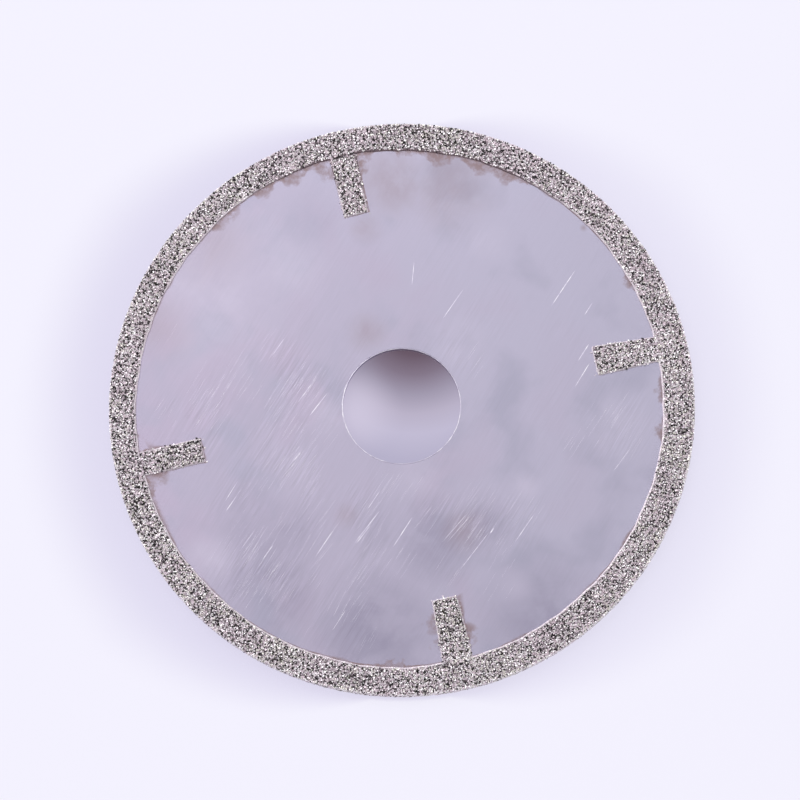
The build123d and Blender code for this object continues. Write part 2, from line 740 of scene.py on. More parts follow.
    def material(self) -> bpy.types.Material:
        """Build the steel's material.

        One main colour turns into the other along X. Clouds and broad places of other colours lie over
        them, then the shade of the lines, then the tarnish and the smudges.

        Returns:
            The material.
        """
        material, sheet = new_material("ground_steel")
        lines, ragged = self.lines(sheet), sheet.clouds(self.ragged)
        # The broad darker places are painted shade.
        smudge, dark, pale = (
            sheet.calc("MULTIPLY", sheet.patches(places, self.blade.blank_top), ragged)
            for places in (self.smudges, self.painted_shade_places, self.worn_and_sheen_places))
        left = sheet.remap(sheet.coordinate(0), self.colour_span)
        rosy = sheet.calc("MULTIPLY_ADD", left, 1 - self.rose_far_side, self.rose_far_side)
        rosy = sheet.calc("MULTIPLY", sheet.clouds(self.rose_clouds), rosy)
        base = sheet.blend(left, self.cool, self.plain)
        # The broad paler places are painted sheen, and in part places worn by handling.
        layers = ((rosy, self.rose), (sheet.clouds(self.slate_clouds), self.slate),
                  (dark, self.shadow), (pale, self.sheen))
        for factor, colour in layers:
            base = sheet.blend(factor, base, colour)
        falloff = sheet.remap(sheet.coordinate(1), self.falloff_span, (1.0, self.falloff))
        shade = sheet.calc("MULTIPLY", sheet.remap(lines, self.line_span, self.line_shade), falloff)
        base = sheet.add("VectorMath", {0: base, "Scale": shade}, operation="SCALE").outputs[0]
        brown = sheet.calc("MAXIMUM", self.tarnish(sheet), smudge)
        ends = (self.roughness + self.line_roughness, self.roughness - self.line_roughness)
        rough = sheet.remap(lines, self.line_span, ends)
        sheet.coat({
            "Base Color": sheet.blend(brown, base, self.stain), "Metallic": self.metallic,
            "Roughness": sheet.calc("MULTIPLY_ADD", brown, self.tarnish_roughness, rough),
            "Normal": sheet.bump(lines, self.line_relief, self.line_depth)})
        return material


@dataclass(frozen=True)
class PaintedGlintSteel:
    """The raised lip of a scratch in the steel, painted near white as the highlight that it catches; the
    bore's burr takes it too.

    Attributes:
        painted_glint: Its colour where the painted highlight is strongest.
        dull: Its colour where the painted highlight is weakest.
        glints: Clouds of painted glints, in which it goes from the dull colour to the strong one.
        metallic: How much of a metal it is, from 0 to 1.
        roughness: Roughness all over.
    """

    painted_glint: Colour = linear(250, 246, 255)
    dull: Colour = linear(212, 204, 226)
    glints: Cloud = Cloud(0.9, span=(0.3, 0.7))
    metallic: float = 0.3
    roughness: float = 0.45

    def material(self) -> bpy.types.Material:
        """Build the material: near-white metal as a painted highlight, slightly uneven along the scratch.

        Returns:
            The material.
        """
        material, sheet = new_material("scratch_lip")
        # Near-white painted highlight, with painted glints along it.
        base = sheet.blend(sheet.clouds(self.glints), self.dull, self.painted_glint)
        sheet.coat({"Base Color": base, "Metallic": self.metallic, "Roughness": self.roughness})
        return material


@dataclass(frozen=True)
class NickelSkin:
    """Plated nickel: pale satin along the mask, and between the grains mottled with near-black painted shade
    in the hollows.

    Attributes:
        bare: Colour along the mask.
        darker_edge: Colour along the mask on one side, darker than the rest.
        darker_edge_direction: Direction of that side from the axis, as a vector.
        darker_edge_span: How far in that direction the darker colour sets in, and where it is full.
        high: Colour on top between the grains.
        low: Near-black painted shade in the hollows between the grains.
        mottle: Clouds in which it goes from low to high.
        relief_depth: Height of the mottling's relief.
        relief: Strength of that relief.
        metallic: How much of a metal it is, from 0 to 1.
        roughness: Roughness all over.
    """

    bare: Colour = linear(220, 208, 218)
    darker_edge: Colour = linear(122, 104, 112)
    darker_edge_direction: Point = (0.26, 0.97, 0.0)
    darker_edge_span: Pair = (35.0, 42.0)
    high: Colour = linear(214, 196, 208)
    low: Colour = linear(12, 6, 11)
    mottle: Cloud = Cloud(2.4, 3.0, 0.6, span=(0.42, 0.68))
    relief_depth: float = 0.03
    relief: float = 0.6
    metallic: float = 0.6
    roughness: float = 0.38

    def material(self) -> bpy.types.Material:
        """Build the material: fine mottling of light nickel and near-black painted shade, with a fine
        relief.

        Returns:
            The material.
        """
        material, sheet = new_material("plated_nickel")
        # Between the grains the nickel is mottled with near-black painted shade in the hollows.
        mottled_pit_shade = sheet.blend(sheet.clouds(self.mottle), self.low, self.high)
        # The nickel along the mask is darker on the side that darker_edge_direction points to.
        brown = sheet.remap(sheet.ahead(self.darker_edge_direction), self.darker_edge_span)
        bare = sheet.blend(brown, self.bare, self.darker_edge)
        sheet.coat({
            "Base Color": sheet.blend(sheet.tone(Tone.PITTED), bare, mottled_pit_shade), "Metallic": self.metallic,
            "Roughness": self.roughness,
            "Normal": sheet.bump(sheet.noise(self.mottle), self.relief, self.relief_depth)})
        return material


@dataclass(frozen=True)
class DiamondGrain:
    """Grains of diamond, from nearly black to clear and milky, partly veiled in nickel; the blackest and
    whitest also carry painted shade and painted glints.

    Attributes:
        shades: Colours by the grain's shade, each with where it starts from 0 to 1; the near-black ones are
            partly painted shade, the near-white ones partly painted glints.
        drift: How far the tint drifts from place to place.
        drift_clouds: The clouds in which it drifts.
        olive: Tint of some of the grains.
        olive_span: Values of the tint at which that sets in and at which it is full.
        olive_share: Its share in the colour where it is full.
        rose: Tint of others.
        rose_span: The same two values for it.
        rose_share: Its share in the colour.
        tinted_span: Shades at which a tint sets in and at which it is full.
        tinted_share: Share of the tint in the darkest grains.
        painted_sheen_direction: Direction from the axis of the side where the grains are painted paler, as a
            vector: a painted reflection of the pale room.
        painted_sheen_span: How far in that direction the painted paleness sets in, and where it is full.
        painted_sheen_gain: What the full painted paleness adds to the shade.
        metallic: How much of a metal the nickel's veil makes it, from 0 to 1.
        roughness: Roughness of the facets.
        refraction: Index of refraction.
    """

    shades: Stops = (
        (0.00, linear(6, 2, 5)),
        (0.20, linear(20, 12, 18)),
        (0.24, linear(202, 190, 204)),
        (0.31, linear(255, 247, 255)),
        (1.00, linear(255, 254, 255)),
    )
    drift: float = 0.8
    drift_clouds: Cloud = Cloud(0.09)
    olive: Colour = linear(196, 190, 160)
    olive_span: Pair = (0.55, 0.9)
    olive_share: float = 0.4
    rose: Colour = linear(214, 186, 200)
    rose_span: Pair = (0.40, 0.05)
    rose_share: float = 0.6
    tinted_span: Pair = (0.1, 0.5)
    tinted_share: float = 0.2
    painted_sheen_direction: Point = (0.80, -0.60, 0.0)
    painted_sheen_span: Pair = (-10.0, 50.0)
    painted_sheen_gain: float = 0.16
    metallic: float = 0.4
    roughness: float = 0.16
    refraction: float = 1.6

    def material(self) -> bpy.types.Material:
        """Build the material from each grain's own shade and tint.

        The tint drifts from place to place, and the shade is painted paler towards +X and -Y, a painted
        reflection of the pale room.

        Returns:
            The material.
        """
        material, sheet = new_material("diamond_grain")
        drift = sheet.calc("MULTIPLY_ADD", sheet.noise(self.drift_clouds), 2 * self.drift, -self.drift)
        tint = sheet.calc("ADD", sheet.tone(Tone.TINT), drift)
        # Painted reflection of the pale room: the grains are painted paler towards +X and -Y.
        painted_sheen = sheet.remap(sheet.ahead(self.painted_sheen_direction), self.painted_sheen_span, (0.0, self.painted_sheen_gain))
        shade = sheet.calc("ADD", sheet.tone(Tone.SHADE), painted_sheen)
        # The near-black and near-white grains stand in partly for painted shade and painted glints.
        plain = sheet.ramp(shade, self.shades)
        tinted = sheet.blend(sheet.remap(tint, self.olive_span, (0.0, self.olive_share)), plain, self.olive)
        tinted = sheet.blend(sheet.remap(tint, self.rose_span, (0.0, self.rose_share)), tinted, self.rose)
        share = sheet.remap(shade, self.tinted_span, (self.tinted_share, 1.0))
        sheet.coat({
            "Base Color": sheet.blend(share, plain, tinted), "Metallic": self.metallic,
            "Roughness": self.roughness, "IOR": self.refraction})
        return material


# The diamond deposit

@dataclass
class Section:
    """The deposit's outline on one half of the rim, from the masked edge to the rim's middle.

    Attributes:
        radius: Distance of each point from the axis.
        height: Height of each point over the resting plane, as on the upper face.
        hold: How far the point follows the masked edge as it wavers, from 1 to 0.
    """

    radius: np.ndarray
    height: np.ndarray
    hold: np.ndarray

    def normals(self) -> tuple[np.ndarray, np.ndarray]:
        """Outward normals: the path's direction at each point, turned a quarter to the left.

        Returns:
            Their radial parts and their upward parts.
        """
        along, up = np.gradient(self.radius), np.gradient(self.height)
        length = np.hypot(along, up)
        return -up / length, along / length

    def travelled(self) -> np.ndarray:
        """Distance along the path up to each point."""
        steps = np.hypot(np.diff(self.radius), np.diff(self.height))
        return np.concatenate([[0], np.cumsum(steps)])


@dataclass
class DiamondDeposit:
    """The plated band and strips: a nickel skin, and grains that stand out of it.

    Attributes:
        blade: The blade's sizes.
        nickel_depth: How far the nickel lies under the tips of the grains.
        mask_rounding: Radius of the nickel's edge along the mask.
        rim_rounding: Radius of the deposit over the edge of the rim.
        ripple: Spread of the heights of the nickel's ripples.
        ripple_limit: The most that a ripple moves the band's nickel.
        ripple_start: Distance from the masked edge at which the band's ripples set in.
        ripple_rise: Distance over which they reach full size.
        pad_ripple: Spread of the ripples on the strips.
        pad_sink: How deep a strip's nickel is sunk into the steel.
        pad_corner: Radius of a strip's two inner corners.
        pad_overlap: How far a strip's nickel runs into the band's.
        pad_step: Distance between points along a strip, past the ones that lie close together.
        bare_margin: Width along the mask where the nickel has no grains.
        margin_swing: How much wider than half of that it is on the band, where it is widest.
        margin_direction: Direction in which it is widest, in degrees from +X; there the wider pale nickel
            also serves as a painted highlight along the mask.
        margin_spread: Spread of that width from grain to grain.
        grain_pitch: Mean distance between grains.
        push: Spread of a grain's place round its own spot, as a share of the pitch.
        grain_size: Smallest and largest width of a grain.
        stretch: Smallest and largest share of that in each direction.
        corner_places: Nearest and furthest place of a grain's corner, as a share of an even block's.
        low_tips: A measure of how low the lowest tips stay: the share of the nickel's depth is its
            power of 1.5.
        contrast: Part of the shade that changes from one grain to the next along a row.
        slips: Share of the grains at which that change slips by one.
        strays: Loose grains that stuck to the steel at the end of each strip.
        stray_reach: Spread of their distance from it.
        stray_height: Lowest and highest place of their tips over the steel.
        turns: Points round the nickel skin.
        step: Distance between points across the nickel skin.
        trace_step: Distance between points on the outline that the grains are set along.
    """

    blade: Blade
    nickel_depth: float = 0.17
    mask_rounding: float = 0.18
    rim_rounding: float = 0.32
    ripple: float = 0.035
    ripple_limit: float = 0.08
    ripple_start: float = 0.35
    ripple_rise: float = 0.2
    pad_ripple: float = 0.03
    pad_sink: float = 0.03
    pad_corner: float = 0.45
    pad_overlap: float = 1.0
    pad_step: float = 0.2
    bare_margin: float = 0.10
    margin_swing: float = 0.16
    margin_direction: float = 160.0
    margin_spread: float = 0.12
    grain_pitch: float = 0.35
    push: float = 0.20
    grain_size: Pair = (0.36, 0.52)
    stretch: Pair = (0.8, 1.15)
    corner_places: Pair = (0.75, 1.1)
    low_tips: float = 0.7
    contrast: float = 0.38
    slips: float = 0.25
    strays: int = 3
    stray_reach: float = 0.25
    stray_height: Pair = (0.10, 0.22)
    turns: int = 1200
    step: float = 0.24
    trace_step: float = 0.1

    def section(self, depth: float, step: float) -> Section:
        """Trace the deposit's outline at a depth under the tips of the grains.

        It climbs from the steel, turns a quarter circle, crosses the face, turns another quarter
        circle over the rim and drops to the rim's middle.

        Args:
            depth: Distance of the outline under the tips.
            step: Distance between points on the long straight.

        Returns:
            The outline.
        """
        blade = self.blade
        top, rim = blade.thickness - depth, blade.outer_radius - depth
        start, edge = blade.band_inner_radius, self.mask_rounding
        over = self.rim_rounding - depth / 2
        quarter = np.linspace(0, math.pi / 2, 5)
        across = np.arange(start + edge + step, rim - over - step / 2, step)
        drop = np.linspace(top - over, blade.thickness / 2, 4)[1:]
        radius = np.concatenate([
            [start], start + edge * (1 - np.cos(quarter)), across, rim - over * (1 - np.sin(quarter)),
            np.full(len(drop), rim)])
        height = np.concatenate([
            [blade.blank_top], top - edge * (1 - np.sin(quarter)), np.full(len(across), top),
            top - over * (1 - np.cos(quarter)), drop])
        hold = np.clip((rim - over - radius) / (rim - over - start), 0, 1)
        return Section(radius, height, hold)

    def outer_path(self) -> Section:
        """The outline through the tips of the grains."""
        return self.section(0.0, self.trace_step)

    @staticmethod
    def loop(upper: np.ndarray, lower: np.ndarray, steel: Pair) -> np.ndarray:
        """Values round the band's loop: out over the upper face, back under the lower, home in the steel."""
        return np.concatenate([upper, lower[::-1], steel])

    def band_skin(self, rng: np.random.Generator) -> Surface:
        """The nickel of the band: the section's closed loop, carried round the axis.

        The loop runs over the upper face, down the rim, back under the lower face, and home along the
        steel. Ripples move its outside along its normals and die out at the masked edge.

        Args:
            rng: Source of the ripples.

        Returns:
            A closed surface.
        """
        half, blade = self.section(self.nickel_depth, self.step), self.blade
        out, up = half.normals()
        rippled = np.clip((half.travelled() - self.ripple_start) / self.ripple_rise, 0, 1)
        radius = self.loop(half.radius, half.radius, (blade.blank_radius, blade.blank_radius))
        height = self.loop(half.height, blade.thickness - half.height, (blade.blank_bottom, blade.blank_top))
        hold, outward, upward, rippled = (
            self.loop(upper, lower, (0.0, 0.0))
            for upper, lower in ((half.hold, half.hold), (out, out), (up, -up), (rippled, rippled)))
        angle = full_turn(self.turns)[:, None]
        shift = blade.masked_radius(angle) - blade.band_inner_radius
        wave = self.ripple * rippled * ripples(rng, (self.turns, len(radius)), 2)
        wave = np.clip(wave, -self.ripple_limit, self.ripple_limit)
        points = around(angle, radius + hold * shift + outward * wave, height + upward * wave)
        pitted = np.broadcast_to(rippled, wave.shape).ravel()
        faces = grid_faces(self.turns, len(radius), True)
        return Surface(points, faces, {Tone.PITTED: pitted}).outward()

    def strip_frame(self, strip: Strip, x: np.ndarray) -> tuple[np.ndarray, np.ndarray]:
        """Middle line and half width of a strip at distances from the axis.

        Args:
            strip: The strip.
            x: Distances from the axis along the strip.

        Returns:
            The middle line's sideways place, and the half width.
        """
        inner, outer = strip.end_radius, self.blade.band_inner_radius
        share = np.clip((x - inner) / (outer - inner), 0, 1)
        centre = math.tan(math.radians(strip.lean)) * (x - (inner + outer) / 2)
        return centre, (strip.end_width + (strip.band_width - strip.end_width) * share) / 2

    def turned(self, strip: Strip, points: np.ndarray) -> np.ndarray:
        """Turn points of a strip that lies along +X to the strip's own direction.

        Args:
            strip: The strip.
            points: One row of x, y, z for each point.

        Returns:
            The turned points.
        """
        return points @ np.array(Matrix.Rotation(math.radians(-strip.angle), 3, "Z"))

    def strip_skin(self, strip: Strip, side: Side, rng: np.random.Generator) -> Surface:
        """The nickel of one strip: a low pad with rounded edges, sunk a little into the steel.

        Its height over the steel is a quarter circle of the distance from its outline, then level.
        The outline's two inner corners are rounded by taking that distance from a circle there.

        Args:
            strip: The strip.
            side: The face that it is on.
            rng: Source of the ripples.

        Returns:
            A closed surface.
        """
        edge, corner = self.mask_rounding, self.pad_corner
        # The grid's points lie close together where the pad curves up, then spread out evenly.
        near = np.array([-0.06, 0.0, 0.04, 0.10, edge, 0.30])
        length = self.blade.band_inner_radius + self.pad_overlap - strip.end_radius
        level = np.arange(near[-1] + self.pad_step, length, self.pad_step)
        x = strip.end_radius + np.concatenate([near, level])
        centre, half = (values[:, None] for values in self.strip_frame(strip, x))
        inner = np.linspace(0.45, 1, 11)[:-1]
        from_side = np.concatenate([np.broadcast_to(near, (len(x), len(near))), inner * half], axis=1)
        y = np.concatenate([from_side - half, half - from_side[:, ::-1]], axis=1)
        side_gap = half - np.abs(y)
        end_gap = np.broadcast_to((x - strip.end_radius)[:, None], side_gap.shape)
        in_corner = np.hypot(corner - side_gap, corner - end_gap)
        rounded = (side_gap < corner) & (end_gap < corner)
        gap = np.where(rounded, corner - in_corner, np.minimum(side_gap, end_gap))
        full = self.blade.thickness - self.nickel_depth - self.blade.blank_top
        share = 1 - np.clip(gap / edge, 0, 1)
        rise = np.where(gap > 0, full * np.sqrt(1 - share**2), -self.pad_sink)
        waves = np.clip(ripples(rng, gap.shape, 2), -2, 2)
        rise = rise + self.pad_ripple * np.clip((gap - edge) / 0.3, 0, 1) * waves
        sheets = [
            rows(x[:, None], centre + y, self.blade.level(self.blade.blank_top + height, side))
            for height in (rise, np.full(gap.shape, -self.pad_sink * 1.5))
        ]
        upper = grid_faces(*gap.shape, False)
        lower = upper[:, ::-1] + gap.size
        number = np.arange(gap.size).reshape(gap.shape)
        border = np.concatenate([number[0], number[1:, -1], number[-1, -2::-1], number[-2:0:-1, 0]])
        after = np.roll(border, -1)
        wall = np.stack([border, after, after + gap.size, border + gap.size], axis=1)
        pitted = np.tile(np.clip((gap - edge * 0.6) / 0.15, 0, 1).ravel(), 2)
        pad = Surface(np.vstack(sheets), np.vstack([upper, lower, wall]), {Tone.PITTED: pitted})
        pad.points = self.turned(strip, pad.points)
        return pad.outward()

    def grain_shape(self) -> tuple[np.ndarray, np.ndarray]:
        """A block with eight corners.

        Returns:
            Its corners on a sphere of radius 1, and its 12 triangles, which face outwards.
        """
        signs = np.array([(x, y, z) for x in (-1, 1) for y in (-1, 1) for z in (-1, 1)], float)
        sides = np.array([
            (0, 1, 3, 2), (4, 6, 7, 5), (0, 4, 5, 1), (2, 3, 7, 6), (0, 2, 6, 4), (1, 5, 7, 3)])
        return signs / math.sqrt(3), np.vstack([sides[:, [0, 1, 2]], sides[:, [0, 2, 3]]])

    def grains(self, tips: np.ndarray, normals: np.ndarray, rng: np.random.Generator) -> Surface:
        """Set one grain under each tip: a block of uneven corners, turned at random, pushed out to the tip.

        A random quaternion gives each grain's turn. The grain is moved along its normal until its furthest
        corner lies at the tip, less a random part of the nickel's depth, and back inside the deposit's
        outer bounds where a corner passes them. Darker and paler grains take turns along a row, with a
        slip here and there.

        Args:
            tips: Points on the outer bound of the deposit.
            normals: Outward directions there.
            rng: Source of turns and sizes.

        Returns:
            All the grains, with their shades and tints.
        """
        shape, faces = self.grain_shape()
        count, corners = len(tips), len(shape)
        quaternion = rng.normal(size=(count, 4))
        w, x, y, z = (quaternion / np.linalg.norm(quaternion, axis=1, keepdims=True)).T
        turn = np.array([
            [1 - 2 * (y * y + z * z), 2 * (x * y - z * w), 2 * (x * z + y * w)],
            [2 * (x * y + z * w), 1 - 2 * (x * x + z * z), 2 * (y * z - x * w)],
            [2 * (x * z - y * w), 2 * (y * z + x * w), 1 - 2 * (x * x + y * y)]]).transpose(2, 0, 1)
        width = rng.uniform(*self.grain_size, size=(count, 1, 1))
        width = width * rng.uniform(*self.stretch, size=(count, 1, 3))
        uneven = rng.uniform(*self.corner_places, size=(count, corners, 3))
        points = (shape * uneven * width / 2) @ turn
        reach = np.einsum("gpk,gk->gp", points, normals).max(axis=1)
        low = rng.uniform(0, self.low_tips, size=count) ** 1.5 * self.nickel_depth
        points += (tips - normals * (reach + low)[:, None])[:, None, :]
        self.pull_inside(points)
        numbers = faces + corners * np.arange(count)[:, None, None]
        slips = np.cumsum(rng.random(count) < self.slips)
        shade = (1 - self.contrast) * rng.uniform(size=count)
        shade = shade + self.contrast * ((np.arange(count) + slips) % 2)
        tones = {Tone.SHADE: np.repeat(shade, corners),
                 Tone.TINT: np.repeat(rng.uniform(size=count), corners)}
        return Surface(points.reshape(-1, 3), numbers.reshape(-1, 3), tones).outward()

    def pull_inside(self, points: np.ndarray) -> None:
        """Move whole grains back by as much as their furthest corner passes the faces or the rim.

        Args:
            points: Corners of the grains, by grain, corner and axis, which are changed in place.
        """
        points[..., 2] -= np.clip(points[..., 2].max(axis=1) - self.blade.thickness, 0, None)[:, None]
        points[..., 2] -= np.clip(points[..., 2].min(axis=1), None, 0)[:, None]
        flat = points[..., :2]
        furthest = np.linalg.norm(flat, axis=2).max(axis=1)
        flat *= np.minimum(1, self.blade.outer_radius / furthest)[:, None, None]

    def scattered(self, width: float, length: float,
                  rng: np.random.Generator) -> tuple[np.ndarray, np.ndarray]:
        """Spread points over a rectangle: staggered rows, each point then pushed about at random.

        The rows are the height of an equilateral triangle apart.

        Args:
            width: Size of the rectangle the first way.
            length: Size of the rectangle the second way.
            rng: Source of the pushes.

        Returns:
            The two coordinates of the points that stay inside.
        """
        pitch, push = self.grain_pitch, self.push * self.grain_pitch
        across = max(int(round(width / (pitch * math.sin(math.pi / 3)))), 1)
        along = int(round(length / pitch))
        row, column = np.meshgrid(np.arange(across), np.arange(along), indexing="ij")
        first = (row + 0.5) * width / across + rng.normal(0, push, row.shape)
        second = (column + 0.5 * (row % 2)) * length / along + rng.normal(0, push, row.shape)
        inside = (first > 0) & (first < width)
        return first[inside], second[inside]

    def band_grains(self, side: Side, rng: np.random.Generator) -> Surface:
        """The grains of the band on one face, spread over angle and distance along the section.

        Args:
            side: The face.
            rng: Source of places, turns and sizes.

        Returns:
            The grains.
        """
        start = self.blade.thickness - self.blade.blank_top
        end = self.outer_path().travelled()[-1] - self.blade.thickness / 2
        turn = 2 * math.pi * (self.blade.band_inner_radius + self.blade.outer_radius) / 2
        along, round_rim = self.scattered(end - start, turn, rng)
        angle = round_rim / turn * 2 * math.pi
        # The bare margin is widest towards margin_direction, where its pale nickel also serves as a painted
        # highlight along the mask.
        towards = np.clip(np.cos(angle - math.radians(self.margin_direction)), 0, 1)
        margin = self.bare_margin / 2 + self.margin_swing * towards**2
        kept = along > rng.normal(margin, self.margin_spread)
        return self.section_grains(along[kept] + start, angle[kept], side, rng)

    def rim_grains(self, rng: np.random.Generator) -> Surface:
        """The grains of the rim, spread over angle and height; those over its middle are the upper face's.

        Args:
            rng: Source of places, turns and sizes.

        Returns:
            The grains.
        """
        thickness, turn = self.blade.thickness, 2 * math.pi * self.blade.outer_radius
        end = self.outer_path().travelled()[-1]
        height, round_rim = self.scattered(thickness, turn, rng)
        from_middle, angle = height - thickness / 2, round_rim / turn * 2 * math.pi
        halves = [
            self.section_grains(end - np.abs(from_middle[half]), angle[half], side, rng)
            for side, half in ((Side.UPPER, from_middle >= 0), (Side.LOWER, from_middle < 0))
        ]
        return Surface.joined(halves)

    def section_grains(self, along: np.ndarray, angle: np.ndarray, side: Side,
                       rng: np.random.Generator) -> Surface:
        """Grains at distances along the section, read off the traced outline, and carried round the axis.

        Args:
            along: Distances along the section.
            angle: Directions from the axis, in radians.
            side: The face.
            rng: Source of turns and sizes.

        Returns:
            The grains.
        """
        path = self.outer_path()
        radius, height, hold, out, up = (
            np.interp(along, path.travelled(), values)
            for values in (path.radius, path.height, path.hold, *path.normals()))
        radius = radius + hold * (self.blade.masked_radius(angle) - self.blade.band_inner_radius)
        length = np.hypot(out, up)
        out, up = out / length, up / length * side.value
        normals = around(angle, out, up)
        return self.grains(around(angle, radius, self.blade.level(height, side)), normals, rng)

    def strip_grains(self, strip: Strip, side: Side, rng: np.random.Generator) -> Surface:
        """The grains of one strip, which run on over the band's bare margin, and a few strays at its end.

        Args:
            strip: The strip.
            side: The face that it is on.
            rng: Source of places, turns and sizes.

        Returns:
            The grains.
        """
        length = self.blade.band_inner_radius + self.bare_margin - strip.end_radius
        wide = max(strip.end_width, strip.band_width)
        x, across = self.scattered(length, wide, rng)
        x = x + strip.end_radius
        centre, half = self.strip_frame(strip, x)
        y = across - wide / 2
        margin = rng.normal(self.bare_margin, self.margin_spread, len(x))
        inside = (np.abs(y) < half - margin) & (x > strip.end_radius + margin)
        x, y = x[inside], (centre + y)[inside]
        height = np.full(len(x), self.blade.thickness)
        stray_x = strip.end_radius - np.abs(rng.normal(0, self.stray_reach, self.strays))
        stray_y = rng.uniform(-0.6, 0.6, self.strays) * strip.end_width
        stray_height = rng.uniform(*self.stray_height, self.strays) + self.blade.blank_top
        x, y, height = np.append(x, stray_x), np.append(y, stray_y), np.append(height, stray_height)
        tips = self.turned(strip, rows(x, y, self.blade.level(height, side)))
        normals = np.tile([0.0, 0.0, float(side.value)], (len(tips), 1))
        return self.grains(tips, normals, rng)

    def build(self) -> list[bpy.types.Object]:
        """Make the skin and the grains of both faces.

        Returns:
            The pieces, the first of which stands for the construction model's deposit.
        """
        rng = np.random.default_rng(7)
        nickel, grain = NickelSkin().material(), DiamondGrain().material()
        band = self.band_skin(rng).to_object("nickel_band", nickel, Slot.GRIT, True)
        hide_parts("diamond_plating")
        pieces = [band, self.rim_grains(rng).to_object("rim_grit", grain, Slot.GRIT, False)]
        for side in Side:
            name, strips = side.name.lower(), self.blade.strips(side)
            pads = Surface.joined([self.strip_skin(strip, side, rng) for strip in strips])
            band_grit = self.band_grains(side, rng)
            strip_grit = Surface.joined([self.strip_grains(strip, side, rng) for strip in strips])
            pieces += [
                pads.to_object(f"nickel_strips_{name}", nickel, Slot.GRIT, True),
                band_grit.to_object(f"band_grit_{name}", grain, Slot.GRIT, False),
                strip_grit.to_object(f"strip_grit_{name}", grain, Slot.GRIT, False),
            ]
        return pieces


# The steel blank

@dataclass(frozen=True)
class Scratch:
    """A straight scratch in the steel.

    Attributes:
        x: Its middle.
        y: Its middle.
        length: Its length.
        angle: Its direction, in degrees from +X.
        width: Width of its lip.
    """

    x: float
    y: float
    length: float
    angle: float
    width: float


